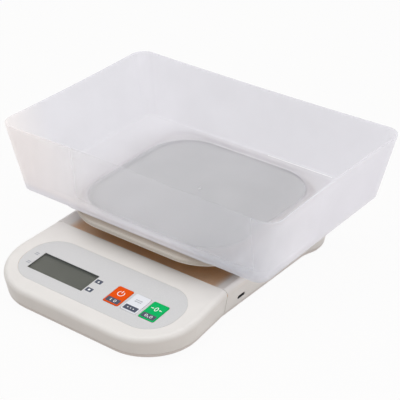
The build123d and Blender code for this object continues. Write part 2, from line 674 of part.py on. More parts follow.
def make_platform_plate():
    """Platform with a bevelled border, a skirt, and a recess for the pad."""
    bevel_z = platform_top - BEVEL_DROP
    plate = slab(PLATFORM_WIDTH, PLATFORM_DEPTH, PLATFORM_CORNER, skirt_bottom, bevel_z)
    plate += platform_bevel(0, BEVEL_WIDTH, bevel_z, platform_top)
    plate = fillet(edges_at(plate, bevel_z), BEVEL_ROUND)
    plate = fillet(edges_at(plate, skirt_bottom), SKIRT_ROUND)
    inner_bevel_z = bevel_z - SKIRT_WALL
    plate -= slab(PLATFORM_WIDTH - 2 * SKIRT_WALL, PLATFORM_DEPTH - 2 * SKIRT_WALL,
                  PLATFORM_CORNER - SKIRT_WALL, skirt_bottom, inner_bevel_z)
    plate -= platform_bevel(SKIRT_WALL, BEVEL_WIDTH + SKIRT_WALL, inner_bevel_z, plate_under)
    plate -= slab(PLATFORM_WIDTH - 2 * PAD_MARGIN, PLATFORM_DEPTH - 2 * PAD_MARGIN,
                  PLATFORM_CORNER - PAD_MARGIN, platform_top - PAD_THICK,
                  platform_top + CUT_OVERRUN)
    for x, y in platform_screws_at:
        plate += post(PLATE_BOSS_RADIUS, flange_top, plate_under, x, y)
        plate -= post(PLATFORM_SCREW_RADIUS + THREAD_FIT, flange_top,
                      flange_top + PLATFORM_SCREW_GRIP, x, y)
    return plate


def platform_bevel(low_inset, high_inset, low, high):
    """Block that narrows upwards between two insets of the platform's outline."""
    faces = [
        rounded_face(PLATFORM_WIDTH - 2 * inset, PLATFORM_DEPTH - 2 * inset,
                     PLATFORM_CORNER - inset, z)
        for inset, z in ((low_inset, low), (high_inset, high))
    ]
    return loft(faces, ruled=True)


def make_platform_pad():
    """Grey inlay that the tray stands on."""
    margin = PAD_MARGIN + SEAT_GAP
    return slab(PLATFORM_WIDTH - 2 * margin, PLATFORM_DEPTH - 2 * margin,
                PLATFORM_CORNER - margin, platform_top - PAD_THICK, platform_top)


def make_platform_support():
    """Hollow hub on the load cell's free end, with a ribbed flange under the platform."""
    height = flange_under - hub_bottom
    middle = hub_bottom + height / 2
    support = Pos(0, 0, middle) * Cone(HUB_BOTTOM_RADIUS, HUB_TOP_RADIUS, height)
    support += slab(FLANGE_WIDTH, FLANGE_DEPTH, FLANGE_CORNER, flange_under, flange_top)
    for turn in range(0, 360, 90):
        support += Rot(0, 0, turn) * make_hub_rib()
    hollow_bottom = hub_bottom + HUB_BASE
    hollow_height = flange_top - hollow_bottom
    support -= Pos(0, 0, hollow_bottom + hollow_height / 2) * Cone(
        HUB_BOTTOM_RADIUS - HUB_WALL, HUB_TOP_RADIUS - HUB_WALL, hollow_height)
    for x in free_holes:
        support += post(HUB_BOSS_RADIUS, hub_bottom, hub_bottom + CELL_SCREW_GRIP + HUB_BOSS_CAP,
                        x, 0)
        support -= post(CELL_SCREW_RADIUS + THREAD_FIT, hub_bottom,
                        hub_bottom + CELL_SCREW_GRIP, x, 0)
    for x, y in platform_screws_at:
        support -= post(PLATFORM_SCREW_RADIUS + SCREW_CLEARANCE, flange_under, flange_top, x, y)
    return support


def make_hub_rib():
    """Web between the hub and the flange, along +X."""
    inner = HUB_TOP_RADIUS - HUB_WALL
    face = make_face(Polyline(
        (inner, 0, flange_under), (HUB_TOP_RADIUS + HUB_RIB_REACH, 0, flange_under),
        (inner, 0, flange_under - HUB_RIB_DROP), close=True))
    return extrude(face, amount=HUB_RIB / 2, dir=(0, 1, 0), both=True)


def make_platform_screws():
    """Screws that hold the platform on the support's flange."""
    return group([
        screw(PLATFORM_HEAD_RADIUS, PLATFORM_HEAD_HEIGHT, PLATFORM_SCREW_RADIUS, flange_under,
              flange_top + PLATFORM_SCREW_GRIP, x, y)
        for x, y in platform_screws_at
    ])


# Load cell

def make_load_cell():
    """Aluminium bending beam with its gauge opening and screw holes."""
    cell = block(CELL_LENGTH, CELL_WIDTH, cell_bottom, cell_top, cell_middle_x)
    middle_z = (cell_bottom + cell_top) / 2
    for side in (1, -1):
        x = cell_middle_x + side * GAUGE_HOLE_PITCH / 2
        cell -= Pos(x, 0, middle_z) * Rot(90, 0, 0) * Cylinder(GAUGE_HOLE_RADIUS, CELL_WIDTH)
    cell -= Pos(cell_middle_x, 0, middle_z) * Box(GAUGE_HOLE_PITCH, CELL_WIDTH, GAUGE_SLOT)
    for x in free_holes:
        cell -= post(CELL_SCREW_RADIUS + SCREW_CLEARANCE, cell_bottom, cell_top, x)
    for x in fixed_holes:
        cell -= post(CELL_SCREW_RADIUS + THREAD_FIT, cell_bottom, cell_top, x)
    return cell


def make_load_cell_spacer():
    """Metal plate under the load cell's fixed end."""
    spacer = block(spacer_length, CELL_WIDTH, cell_bottom - SPACER_THICK, cell_bottom, spacer_x)
    for x in fixed_holes:
        spacer -= post(CELL_SCREW_RADIUS + SCREW_CLEARANCE, cell_bottom - SPACER_THICK,
                       cell_bottom, x)
    return spacer


def make_load_cell_screws():
    """Screws that clamp the load cell's fixed end to the lower housing."""
    seat = housing_bottom + HEAD_SINK + CELL_HEAD_HEIGHT
    return group([
        screw(CELL_HEAD_RADIUS, CELL_HEAD_HEIGHT, CELL_SCREW_RADIUS, seat,
              cell_bottom + CELL_SCREW_GRIP, x, 0)
        for x in fixed_holes
    ])


def make_support_screws():
    """Screws that hold the support on the load cell's free end."""
    return group([
        screw(CELL_HEAD_RADIUS, CELL_HEAD_HEIGHT, CELL_SCREW_RADIUS, cell_bottom,
              hub_bottom + CELL_SCREW_GRIP, x, 0)
        for x in free_holes
    ])


def make_gauge_sealant():
    """Sealant over the gauges, under the cell and on the side where its cable leaves."""
    under = block(SEALANT_LENGTH, CELL_WIDTH, cell_bottom - SEALANT_THICK, cell_bottom,
                  cell_middle_x)
    side = block(SEALANT_LENGTH, SEALANT_THICK, cell_bottom - SEALANT_THICK, cell_top,
                 cell_middle_x, -(CELL_WIDTH + SEALANT_THICK) / 2)
    return under + side


def make_overload_screws():
    """Stop screws under the support, one each side of the load cell."""
    screws = []
    for side in (1, -1):
        low = stop_top - STOP_SCREW_PROUD - STOP_GRIP
        stop = post(STOP_SCREW_RADIUS, low, stop_top, 0, side * STOP_SPREAD)
        hexagon = Pos(0, side * STOP_SPREAD, stop_top) * RegularPolygon(STOP_SOCKET_RADIUS, 6)
        screws.append(stop - extrude(hexagon, amount=-STOP_SOCKET_DEPTH))
    return group(screws)


# Control panel

def make_control_overlay():
    """Panel film with openings for the display and the keys."""
    film = slab(OVERLAY_WIDTH, OVERLAY_DEPTH, overlay_corner, -OVERLAY_THICK, 0)
    film -= block(DISPLAY_WIDTH, DISPLAY_DEPTH, -OVERLAY_THICK, 0, DISPLAY_X, KEY_ROW_OFFSET)
    for x in key_xs:
        film -= slab(KEY_WIDTH + 2 * SLIDING_GAP, KEY_LENGTH + 2 * SLIDING_GAP,
                     KEY_CORNER + SLIDING_GAP, -OVERLAY_THICK, 0, x, KEY_ROW_OFFSET)
    return on_panel(film)


def make_key(x):
    """Key pad with the plunger under it."""
    pad = slab(KEY_WIDTH, KEY_LENGTH, KEY_CORNER, KEY_PROUD - KEY_PAD, KEY_PROUD,
               x, KEY_ROW_OFFSET)
    pad = fillet(edges_at(pad, KEY_PROUD), KEY_EDGE_ROUND)
    pad += post(PLUNGER_RADIUS, stem_top, KEY_PROUD - KEY_PAD, x, KEY_ROW_OFFSET)
    return on_panel(pad)


def make_switch_stem(x):
    """Moving button of a switch."""
    return on_panel(post(STEM_RADIUS, stem_top - STEM_LENGTH, stem_top, x, KEY_ROW_OFFSET))


def make_switch_bodies():
    """Fixed bodies of the three switches."""
    bore_bottom = stem_top - STEM_LENGTH - KEY_TRAVEL - TRAVEL_MARGIN
    bodies = []
    for x in key_xs:
        body = block(SWITCH_SIZE, SWITCH_SIZE, -BOARD_DROP, switch_top, x, KEY_ROW_OFFSET)
        body -= post(STEM_RADIUS + STEM_FIT, bore_bottom, switch_top, x, KEY_ROW_OFFSET)
        bodies.append(on_panel(body))
    return group(bodies)


# Display

def make_display_window():
    """Clear window bonded under the film."""
    return on_panel(block(window_width, window_depth, window_under, window_top,
                          DISPLAY_X, KEY_ROW_OFFSET))


def make_lcd_glass():
    """Two glass plates of the display, the lower one set in over its contacts."""
    glass = block(glass_width, glass_depth, glass_middle, glass_top, DISPLAY_X, KEY_ROW_OFFSET)
    glass += block(glass_width, lower_glass_depth, glass_under, glass_middle,
                   DISPLAY_X, KEY_ROW_OFFSET)
    return on_panel(glass)


def make_zebra_strips():
    """Contact strips between the display's ledges and the main board."""
    return group([
        on_panel(block(glass_width - 2 * ZEBRA_INSET, zebra_thick, -BOARD_DROP, glass_middle,
                       DISPLAY_X, KEY_ROW_OFFSET + side * zebra_y))
        for side in (1, -1)
    ])


def make_lcd_frame():
    """Frame that stands on the board and holds the glass, strips and backlight."""
    wide = glass_width + 2 * SEAT_GAP
    deep = glass_depth + 2 * SEAT_GAP
    frame = block(wide + 2 * FRAME_WALL, deep + 2 * FRAME_WALL, -BOARD_DROP, frame_top,
                  DISPLAY_X, KEY_ROW_OFFSET)
    frame -= block(wide, deep, frame_pocket, frame_top, DISPLAY_X, KEY_ROW_OFFSET)
    for side in (1, -1):
        frame -= block(glass_width - 2 * ZEBRA_INSET + 2 * ZEBRA_FIT, GLASS_LEDGE,
                       -BOARD_DROP, frame_pocket, DISPLAY_X, KEY_ROW_OFFSET + side * zebra_y)
    return on_panel(frame)


def make_backlight_panel():
    """Light spreader behind the glass."""
    return on_panel(block(glass_width - 2 * ZEBRA_INSET, lower_glass_depth - 2 * SEAT_GAP,
                          frame_pocket, frame_pocket + BACKLIGHT_THICK,
                          DISPLAY_X, KEY_ROW_OFFSET))


# Main board

def make_main_board():
    """Circuit board hung on the pod's bosses."""
    board = slab(BOARD_WIDTH, BOARD_DEPTH, BOARD_CORNER, board_under, -BOARD_DROP,
                 0, KEY_ROW_OFFSET)
    for x, y in board_bosses:
        board -= post(BOARD_SCREW_RADIUS + SCREW_CLEARANCE, board_under, -BOARD_DROP, x, y)
    return on_panel(board)


def make_board_screws():
    """Screws that hold the main board."""
    return group([
        on_panel(screw(BOARD_HEAD_RADIUS, BOARD_HEAD_HEIGHT, BOARD_SCREW_RADIUS, board_under,
                       -BOARD_DROP + BOARD_SCREW_GRIP, x, y))
        for x, y in board_bosses
    ])


def make_controller_chip():
    """Controller under the board."""
    return on_panel(block(CHIP_SIZE, CHIP_SIZE, board_under - CHIP_THICK, board_under,
                          0, KEY_ROW_OFFSET + CHIP_OFFSET))


def make_board_cans():
    """Two capacitors under the board."""
    return group([
        on_panel(post(CAN_RADIUS, board_under - CAN_HEIGHT, board_under,
                      side * CAN_PITCH / 2 + CHIP_SIZE * 2, KEY_ROW_OFFSET + CHIP_OFFSET))
        for side in (1, -1)
    ])


def make_board_connectors():
    """Connectors under the board for the load cell and the power lead."""
    return group([
        on_panel(block(CONNECTOR_WIDTH, CONNECTOR_DEPTH, board_under - CONNECTOR_HEIGHT,
                       board_under, x, KEY_ROW_OFFSET + CONNECTOR_OFFSET))
        for x in (CELL_CONNECTOR_X, POWER_CONNECTOR_X)
    ])


def connector_point(x, distance):
    """Point straight behind a board connector, at a distance from its rear face."""
    y = KEY_ROW_OFFSET + CONNECTOR_OFFSET + CONNECTOR_DEPTH / 2 + distance
    return panel.from_local_coords(Vector(x, y, board_under - CONNECTOR_HEIGHT / 2))


# Charging socket, its board and the battery

def socket_bar(grow, left, right, length_from=0.0):
    """Bar with the socket's rounded section along X, grown all round."""
    face = Plane(origin=(left + length_from, SOCKET_Y, socket_z), x_dir=(0, 1, 0),
                 z_dir=(1, 0, 0)) * RectangleRounded(
        SOCKET_WIDTH + 2 * grow, SOCKET_HEIGHT + 2 * grow, SOCKET_CORNER + grow)
    return extrude(face, amount=right - left - length_from)


def make_usb_socket():
    """Metal shell of the charging socket, open at its mouth."""
    back = socket_mouth_x - SOCKET_LENGTH
    return (socket_bar(0, back, socket_mouth_x)
            - socket_bar(-SOCKET_SHELL, back, socket_mouth_x, SOCKET_SHELL * 2))


def make_usb_tongue():
    """Contact tongue inside the socket."""
    back = socket_mouth_x - SOCKET_LENGTH + SOCKET_SHELL * 2
    return Pos(back + TONGUE_LENGTH / 2, SOCKET_Y, socket_z) * Box(
        TONGUE_LENGTH, TONGUE_WIDTH, TONGUE_THICK)


def make_charge_board():
    """Small board that carries the socket."""
    board = block(CHARGE_WIDTH, CHARGE_DEPTH, charge_under, charge_top, charge_x, SOCKET_Y)
    for side in (1, -1):
        board -= post(CHARGE_SCREW_RADIUS + SCREW_CLEARANCE, charge_under, charge_top,
                      charge_boss_x, SOCKET_Y + side * CHARGE_BOSS_SPREAD)
    return board


def make_charge_screws():
    """Screws that hold the charging board, from above."""
    screws = []
    for side in (1, -1):
        up = screw(CHARGE_HEAD_RADIUS, CHARGE_HEAD_HEIGHT, CHARGE_SCREW_RADIUS, 0,
                   CHARGE_THICK + CHARGE_SCREW_GRIP, 0, 0)
        screws.append(Pos(charge_boss_x, SOCKET_Y + side * CHARGE_BOSS_SPREAD, charge_top)
                      * Rot(180, 0, 0) * up)
    return group(screws)


def make_charge_chips():
    """Charging chips beside the socket."""
    return group([
        block(CHARGE_CHIP, CHARGE_CHIP, charge_top, charge_top + CHARGE_CHIP_THICK,
              charge_x, SOCKET_Y + side * CHARGE_CHIP)
        for side in (1, -1)
    ])


def make_battery_cell():
    """Flat rechargeable cell."""
    cell = block(BATTERY_WIDTH, BATTERY_LENGTH, battery_bottom, battery_bottom + BATTERY_THICK,
                 BATTERY_X, BATTERY_Y)
    return fillet(cell.edges().filter_by(Axis.Y), BATTERY_ROUND)


def make_battery_pad():
    """Adhesive pad under the battery."""
    width = BATTERY_WIDTH - 2 * BATTERY_ROUND
    return block(width, BATTERY_LENGTH - 2 * BATTERY_ROUND, floor_top, battery_bottom,
                 BATTERY_X, BATTERY_Y)


# Internal leads

def make_load_cell_cable():
    """Cable from the load cell's sealant to the main board."""
    start_y = -CELL_WIDTH / 2 - SEALANT_THICK
    middle_z = (cell_bottom + cell_top) / 2
    lie_z = floor_top + LEAD_LIFT
    return lead([
        (cell_middle_x, start_y, middle_z),
        (cell_middle_x, start_y - LEAD_RUN, middle_z),
        (cell_middle_x, start_y - 3 * LEAD_RUN, lie_z),
        (CELL_CONNECTOR_X - LEAD_BEND, POD_REAR_Y, lie_z),
        connector_point(CELL_CONNECTOR_X, LEAD_RUN),
        connector_point(CELL_CONNECTOR_X, 0),
    ], CABLE_RADIUS)


def make_power_lead():
    """Lead from the charging board to the main board."""
    start_z = (charge_under + charge_top) / 2
    start_y = SOCKET_Y - CHARGE_DEPTH / 4
    return lead([
        (charge_left, start_y, start_z),
        (charge_left - LEAD_RUN, start_y, start_z),
        (POWER_CONNECTOR_X, POD_REAR_Y, floor_top + LEAD_LIFT),
        connector_point(POWER_CONNECTOR_X, LEAD_RUN),
        connector_point(POWER_CONNECTOR_X, 0),
    ], WIRE_RADIUS)


def make_battery_lead(side):
    """One of the two leads from the battery to the charging board."""
    battery_front = BATTERY_Y - BATTERY_LENGTH / 2
    board_back = SOCKET_Y + CHARGE_DEPTH / 2
    start_z = (charge_under + charge_top) / 2
    start_x = BATTERY_X + side * BATTERY_LEAD_PITCH / 2
    end_x = charge_x + side * BATTERY_LEAD_PITCH / 2
    run = (battery_front - board_back) / 3
    return lead([
        (start_x, battery_front, battery_lead_z),
        (start_x, battery_front - run, battery_lead_z),
        (end_x, board_back + run, start_z),
        (end_x, board_back, start_z),
    ], WIRE_RADIUS)


parts = {
    "upper_housing": make_upper_housing(),
    "lower_housing": make_lower_housing(),
    "housing_screws": make_housing_screws(),
    "front_left_foot": make_foot(-FOOT_X, FOOT_FRONT_Y),
    "front_right_foot": make_foot(FOOT_X, FOOT_FRONT_Y),
    "rear_left_foot": make_foot(-FOOT_X, FOOT_REAR_Y),
    "rear_right_foot": make_foot(FOOT_X, FOOT_REAR_Y),
    "weighing_tray": make_weighing_tray(),
    "platform_plate": make_platform_plate(),
    "platform_pad": make_platform_pad(),
    "platform_support": make_platform_support(),
    "platform_screws": make_platform_screws(),
    "load_cell": make_load_cell(),
    "load_cell_spacer": make_load_cell_spacer(),
    "load_cell_screws": make_load_cell_screws(),
    "support_screws": make_support_screws(),
    "gauge_sealant": make_gauge_sealant(),
    "overload_screws": make_overload_screws(),
    "control_overlay": make_control_overlay(),
    "power_key": make_key(key_xs[0]),
    "unit_key": make_key(key_xs[1]),
    "zero_key": make_key(key_xs[2]),
    "power_switch_stem": make_switch_stem(key_xs[0]),
    "unit_switch_stem": make_switch_stem(key_xs[1]),
    "zero_switch_stem": make_switch_stem(key_xs[2]),
    "switch_bodies": make_switch_bodies(),
    "display_window": make_display_window(),
    "lcd_glass": make_lcd_glass(),
    "zebra_strips": make_zebra_strips(),
    "lcd_frame": make_lcd_frame(),
    "backlight_panel": make_backlight_panel(),
    "main_board": make_main_board(),
    "board_screws": make_board_screws(),
    "controller_chip": make_controller_chip(),
    "board_cans": make_board_cans(),
    "board_connectors": make_board_connectors(),
    "usb_socket": make_usb_socket(),
    "usb_tongue": make_usb_tongue(),
    "charge_board": make_charge_board(),
    "charge_screws": make_charge_screws(),
    "charge_chips": make_charge_chips(),
    "battery_cell": make_battery_cell(),
    "battery_pad": make_battery_pad(),
    "load_cell_cable": make_load_cell_cable(),
    "power_lead": make_power_lead(),
    "battery_lead_left": make_battery_lead(-1),
    "battery_lead_right": make_battery_lead(1),
}

# Put the origin under the middle of the whole scale
boxes = [shape.bounding_box() for shape in parts.values()]
middle_x = (min(box.min.X for box in boxes) + max(box.max.X for box in boxes)) / 2
middle_y = (min(box.min.Y for box in boxes) + max(box.max.Y for box in boxes)) / 2
to_origin = Pos(-middle_x, -middle_y, 0)
print("platform middle at", round(-middle_x, 4), round(-middle_y, 4))

for name, shape in parts.items():
    export_step(to_origin * shape, f"parts/{name}.step")
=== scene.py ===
"""Looks, light and camera for the table scale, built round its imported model.

Metres, +Z up, in the model's own frame. X runs along the control panel and Y towards the back.
"""

import json
from math import cos, pi, radians, sin, tan

import bmesh
import bpy
from mathutils import Matrix, Vector


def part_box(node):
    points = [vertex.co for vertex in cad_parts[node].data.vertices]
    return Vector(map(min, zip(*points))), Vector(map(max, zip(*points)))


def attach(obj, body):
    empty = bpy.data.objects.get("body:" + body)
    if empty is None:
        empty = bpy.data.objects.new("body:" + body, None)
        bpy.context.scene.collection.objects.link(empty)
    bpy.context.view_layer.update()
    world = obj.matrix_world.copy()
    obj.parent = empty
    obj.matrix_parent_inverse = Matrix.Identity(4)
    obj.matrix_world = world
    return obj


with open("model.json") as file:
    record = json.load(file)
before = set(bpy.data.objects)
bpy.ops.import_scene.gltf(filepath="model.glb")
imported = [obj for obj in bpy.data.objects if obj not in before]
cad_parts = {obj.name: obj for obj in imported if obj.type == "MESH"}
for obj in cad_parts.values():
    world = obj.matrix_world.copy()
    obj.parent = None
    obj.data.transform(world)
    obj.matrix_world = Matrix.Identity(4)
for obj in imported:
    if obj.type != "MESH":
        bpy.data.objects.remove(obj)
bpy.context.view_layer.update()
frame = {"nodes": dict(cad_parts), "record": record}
nodes = frame["nodes"]

# Camera, as the photograph was taken
CAMERA_AZIMUTH = radians(37.700)
CAMERA_ELEVATION = radians(30.339)
CAMERA_ROLL = radians(-0.447)
CAMERA_LENS = 119.717       # millimetres on a 36 mm sensor
CAMERA_SENSOR = 36.0
AIM_BELOW_PLATFORM = 0.040  # the aimed point lies under the platform's middle
AIM_RIGHT = -0.002215       # the aimed point, seen from the camera
AIM_UP = -0.027583
AIM_AWAY = 1.080449

# Light
WORLD_LIGHT = 0.42
WORLD_TINT = (0.97, 0.985, 1.0)
FLOOR_WHITE = 0.95          # share of plain white that the camera sees on the floor
FLOOR_COLOUR = (0.58, 0.53, 0.49)
FLOOR_RADIUS = 6.0
LAMP_AIM = (0, 0, 0.03)
LAMPS = (                   # name, place, size in metres, power in watts
    ("overhead", (-0.10, -0.10, 1.4), 1.4, 10.8),
    ("key_front", (-0.45, -1.0, 1.1), 0.9, 2.5),
    ("right_fill", (1.36, 0.0, 0.52), 0.9, 4.8),
)

# Places on the model
PLATFORM_ABOVE_DECK = 0.0260
PAD_CORNER = 0.038
TRAY_FLOOR_ABOVE_PAD = 0.0024

# Brown shade on the deck, which fades with height and where the deck lies open
DECK_SHADE_TOP = (0.0003, 0.0026)      # heights over the deck
DECK_SHADE_FOOT = (-0.0003, -0.0010)
DECK_SHADE_REACH = 0.040
DECK_SHADE_OPENNESS = (0.28, 0.66)

# Taupe shade on the platform's bevel and skirt
BEVEL_SHADE_TOP = (-0.0011, -0.0004)   # heights from the platform's top
SKIRT_SHADE_FOOT = (0.0013, 0.0005)    # heights over the skirt's lower edge
SKIRT_SHADE_REACH = 0.045
SKIRT_SHADE_OPENNESS = (0.58, 0.98)

# Tray's plastic
TRAY_COLOUR = (239, 238, 242)
TRAY_LIT_LEFT_COLOUR = (252, 248, 247)     # painted light on the front wall's left end
TRAY_SHADED_RIGHT_COLOUR = (218, 219, 224)    # painted shade on the front right corner
TRAY_ALPHA = 0.66
TRAY_CLEAR_ALPHA = 0.30                # over the pad
TRAY_WALL_SHARE = 0.20                 # share of its alpha that the wall before the pad keeps
TRAY_GLOW = 0.60                       # share of the light that comes through from the far side

# Zones of the tray's plastic: places are from the tray's middle, heights from its floor
# Painted light on the front wall's left end, painted shade on its right corner
LEFT_LIGHT_END = -0.01
LEFT_LIGHT_FOOT = (0.001, 0.006)
RIGHT_SHADE_START = 0.03
RIGHT_SHADE_OVERHANG = 0.01
PAINTED_LIGHT_REACH = 0.05                      # to both sides of the tray's rim, and the corner's radius
PAINTED_LIGHT_FEATHER = 0.045
CLEAR_WALL_ENDS = (-0.100, 0.150)
CLEAR_WALL_REACH = (0.070, 0.080)      # before and behind the front wall's rim
CLEAR_WALL_CORNER = 0.058
CLEAR_WALL_FEATHER = 0.056
CLEAR_WALL_FOOT = (0.003, 0.010)
PAD_SEEN_SHIFT = Vector((0.0012, -0.0016, 0))  # how far the tray's floor shifts the pad's outline
PAD_FEATHER = 0.0012
GATE_MARK = (0.0016, 0.0006)           # radius and soft edge
PAINTED_HIGHLIGHT_EDGE = ((0.011, 0.0776), (0.075, 0.0790))  # stretch of the floor's rear edge with a painted highlight
PAINTED_HIGHLIGHT_CORNER = (0.0007, 0.0006)   # radius and soft edge
PAINTED_HIGHLIGHT_TOP = (0.004, 0.002)
MARK_ALPHA = 0.95                      # of the gate mark and the painted highlight

# Control panel's print, in metres along the panel
PANEL_TILT = radians(4.3)
KEY_PROUD = 0.0003
PRINT_THICK = 0.00006
PRINT_SINK = 0.00004
KEY_LENGTH = 0.020
CAPTION_WIDTH = 0.0120
CAPTION_HEIGHT = 0.0052
CAPTION_EDGE = 0.0012       # key's front edge to the caption bar
CAPTION_CORNER = 0.0005
SYMBOL_RISE = 0.0030        # key's middle to the symbol's middle
STROKE = 0.00062
STROKE_CORNER = 0.45        # share of a stroke's width
BAR_STROKE_LENGTH = 0.0027  # strokes, dots and noughts on the caption bars
BAR_STROKE_X = -0.0022
BAR_RING_X = 0.0018
DOT = (0.0010, 0.0010, 0.00045)        # width, height and corner
DOT_PITCH = 0.0026
NOUGHT = (0.0011, 0.00145, 0.00045)    # half width, half height and stroke
NOUGHT_OFFSET = 0.0022
NOUGHT_DOT_Y = -0.0011
POWER_RING = 0.0030         # radius, and the length of its upright stroke
POWER_STROKE_RISE = 0.0020
POWER_RING_SPAN = (125, 415)           # degrees
ZERO_RADII = (0.0015, 0.0023)          # across and up
ZERO_ARROW = (0.0024, 0.0010)          # length and head
ZERO_ARROW_OFFSET = 0.0036
UNIT_ARROW = (0.0062, 0.0011)
UNIT_ARROW_OFFSET = 0.0009
MARK_BOX = (0.0059, 0.0044, 0.0006)    # width, height and corner
MARK_X = -0.0021
UPPER_MARK_Y = 0.0003
LOWER_MARK_Y = -0.0108
MARK_TRIANGLE = ((-0.0010, -0.0009), (0.0010, -0.0009), (0, 0.0010))
MARK_SQUARE = (0.0018, 0.0018, 0.0002)
TICK = (0.0036, 0.0009, 0.0003)
TICK_OFFSET = 0.0009
TICK_PLACES = (("upper", -0.0663, 0.0013), ("lower", -0.0647, -0.0100))

# Display
DISPLAY_SHADOW_BAND = (0.0046, 0.0028)        # fade of its painted shadow band, below the display's upper edge

# Materials


def linear(red, green, blue):
    """Colour given as 0 to 255 screen values, as Blender's linear values."""
    def channel(value):
        value /= 255
        if value <= 0.04045:
            return value / 12.92
        return ((value + 0.055) / 1.055) ** 2.4
    return (channel(red), channel(green), channel(blue), 1.0)


class Surface:
    """A Principled material with helpers that add its procedural detail."""

    def __init__(self, name):
        self.material = bpy.data.materials.new(name)
        self.material.use_nodes = True
        self.tree = self.material.node_tree
        self.shader = self.tree.nodes["Principled BSDF"]
        self.place = self.tree.nodes.new("ShaderNodeTexCoord").outputs["Object"]

    def node(self, kind, **settings):
        made = self.tree.nodes.new(kind)
        for name, value in settings.items():
            setattr(made, name, value)
        return made

    def link(self, output, target):
        self.tree.links.new(output, target)

    def noise(self, scale, detail=3.0, stretch=(1, 1, 1), distortion=0.0):
        """Noise over the object; scale is in cycles a metre."""
        mapping = self.node("ShaderNodeMapping")
        mapping.inputs["Scale"].default_value = stretch
        self.link(self.place, mapping.inputs["Vector"])
        made = self.node("ShaderNodeTexNoise")
        made.inputs["Scale"].default_value = scale
        made.inputs["Detail"].default_value = detail
        made.inputs["Distortion"].default_value = distortion
        self.link(mapping.outputs["Vector"], made.inputs["Vector"])
        return made.outputs["Fac"]

    def span(self, source, low, high, start=0.3, end=0.7):
        """Map a value from one span to another."""
        made = self.node("ShaderNodeMapRange")
        made.inputs["From Min"].default_value = start
        made.inputs["From Max"].default_value = end
        made.inputs["To Min"].default_value = low
        made.inputs["To Max"].default_value = high
        self.link(source, made.inputs["Value"])
        return made.outputs["Result"]

    def mix(self, share, first, second):
        """Mix of two colours, each a colour or an output."""
        made = self.node("ShaderNodeMix", data_type="RGBA")
        self.link(share, made.inputs["Factor"])
        for value, socket in ((first, made.inputs[6]), (second, made.inputs[7])):
            if isinstance(value, bpy.types.NodeSocket):
                self.link(value, socket)
            else:
                socket.default_value = value
        return made.outputs[2]

    def zone(self, low, high, corner, feather):
        """1 inside an upright rounded block in the object's plan, falling to 0 at its edge."""
        middle = [(a + b) / 2 for a, b in zip(low, high)]
        core = [max(0, (b - a) / 2 - corner) for a, b in zip(low, high)]
        value = self.place
        for operation, second in (("SUBTRACT", (middle[0], middle[1], 0)), ("ABSOLUTE", None),
                                  ("SUBTRACT", (core[0], core[1], 0)), ("MAXIMUM", (0, 0, 0)),
                                  ("MULTIPLY", (1, 1, 0)), ("LENGTH", None)):
            made = self.node("ShaderNodeVectorMath", operation=operation)
            self.link(value, made.inputs[0])
            if second:
                made.inputs[1].default_value = second
            value = made.outputs["Value" if operation == "LENGTH" else "Vector"]
        return self.span(value, 1, 0, corner - feather, corner)

    def height(self, level, fade):
        """0 at the fade's first height over a level and 1 at its second."""
        split = self.node("ShaderNodeSeparateXYZ")
        self.link(self.place, split.inputs["Vector"])
        return self.span(split.outputs["Z"], 0, 1, level + fade[0], level + fade[1])

    def openness(self, reach, limits):
        """How far a spot lies open: 0 where other surfaces crowd it, 1 in the open."""
        made = self.node("ShaderNodeAmbientOcclusion", samples=8)
        made.inputs["Distance"].default_value = reach
        return self.span(made.outputs["AO"], 0, 1, *limits)

    def math(self, operation, first, second):
        made = self.node("ShaderNodeMath", operation=operation)
        self.link(first, made.inputs[0])
        self.link(second, made.inputs[1])
        return made.outputs["Value"]

    def larger(self, first, second):
        """Larger of two values: where either zone holds."""
        return self.math("MAXIMUM", first, second)

    def product(self, first, second):
        """Product of two values: where both zones hold."""
        return self.math("MULTIPLY", first, second)

    def blend(self, first, second):
        """Mix of two shaders, whose share is still to be set."""
        made = self.node("ShaderNodeMixShader")
        self.link(first, made.inputs[1])
        self.link(second, made.inputs[2])
        return made

    def finish(self, node):
        """Let a shader node, instead of the plain one, give the surface."""
        self.link(node.outputs["Shader"], self.tree.nodes["Material Output"].inputs["Surface"])

    def colour(self, value):
        self.link(value, self.shader.inputs["Base Color"])

    def mottle(self, base, spread, scale):
        """Colour that wanders softly round its base."""
        low = tuple(c * (1 - spread) for c in base[:3]) + (1,)
        high = tuple(min(1, c * (1 + spread)) for c in base[:3]) + (1,)
        return self.mix(self.span(self.noise(scale), 0, 1), low, high)

    def roughness(self, middle, spread, scale):
        self.link(self.span(self.noise(scale, 4), middle - spread, middle + spread),
                  self.shader.inputs["Roughness"])

    def bump(self, height, distance, strength=1.0):
        made = self.node("ShaderNodeBump")
        made.inputs["Distance"].default_value = distance
        made.inputs["Strength"].default_value = strength
        self.link(height, made.inputs["Height"])
        self.link(made.outputs["Normal"], self.shader.inputs["Normal"])


def plastic(name, colour, roughness=0.45, grain=2600, depth=0.00003, spread=0.035,
            shine=0.45):
    """Moulded plastic with a fine grain and slight unevenness."""
    surface = Surface(name)
    surface.colour(surface.mottle(linear(*colour), spread, 55))
    surface.roughness(roughness, 0.07, 160)
    surface.bump(surface.noise(grain, 2), depth, 0.35)
    surface.shader.inputs["Specular IOR Level"].default_value = shine
    return surface


def metal(name, colour, roughness=0.3, stretch=(1, 12, 1), scale=700):
    """Machined or plated metal with fine directional marks."""
    surface = Surface(name)
    surface.colour(surface.mottle(linear(*colour), 0.06, 120))
    surface.shader.inputs["Metallic"].default_value = 1.0
    marks = surface.noise(scale, 5, stretch)
    surface.link(surface.span(marks, roughness - 0.1, roughness + 0.12),
                 surface.shader.inputs["Roughness"])
    surface.bump(marks, 0.00002, 0.3)
    return surface


def rubber(name, colour, roughness=0.75):
    """Matt rubber with a fine pebbled skin."""
    surface = Surface(name)
    surface.colour(surface.mottle(linear(*colour), 0.10, 240))
    surface.roughness(roughness, 0.08, 500)
    surface.bump(surface.noise(3400, 3), 0.00005, 0.4)
    return surface


